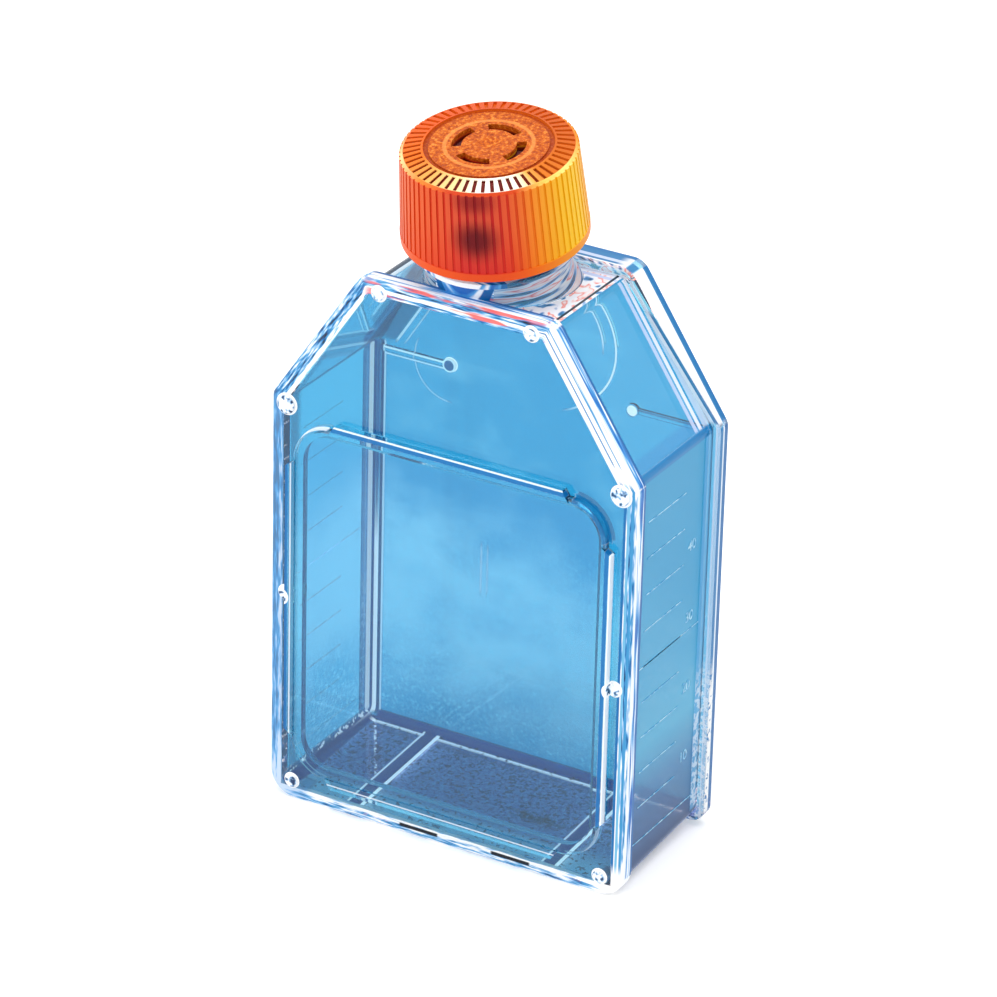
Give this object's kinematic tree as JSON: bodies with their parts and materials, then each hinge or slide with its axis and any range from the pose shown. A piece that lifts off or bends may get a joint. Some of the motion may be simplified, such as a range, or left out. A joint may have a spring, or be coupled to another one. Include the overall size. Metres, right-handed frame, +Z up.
{
  "type": "cell culture flask",
  "caption": "Clear rectangular tissue culture flask standing on end, with sloped shoulders, a canted neck, a raised front panel and a ribbed orange vented screw cap.",
  "frame": {"origin": "on the foot plane, in the middle of the width and in the plane of the rear rim, the side on which the flask lies in use", "axes": "+Z up along the flask towards the neck, +Y towards the rear (growth) side, +X to the right across the width as seen from the front"},
  "size_m": [0.051, 0.0262, 0.0935],
  "materials": {
    "clear_polystyrene": "clear, polished",
    "orange_cap": "satin moulded",
    "white_membrane": "matt"
  },
  "bodies": {
    "flask": {"flask_body": "clear_polystyrene", "front_plate": "clear_polystyrene"},
    "membrane": {"vent_membrane": "white_membrane"},
    "cap": {"screw_cap": "orange_cap"}
  },
  "joints": [
    {"name": "cap_rise", "type": "slide", "parent": "flask", "child": "membrane", "axis": [0, -0.1736, 0.9848], "range_m": [0, 0.01137]},
    {"name": "cap_turn", "type": "hinge", "parent": "membrane", "child": "cap", "pos_m": [0, -0.0125, 0.0735], "axis": [0, -0.1736, 0.9848], "range_deg": [0, 1170]}
  ],
  "couplings": [
    {"joint": "cap_rise", "follows": "cap_turn", "m_per_rad": 0.00055704}
  ]
}
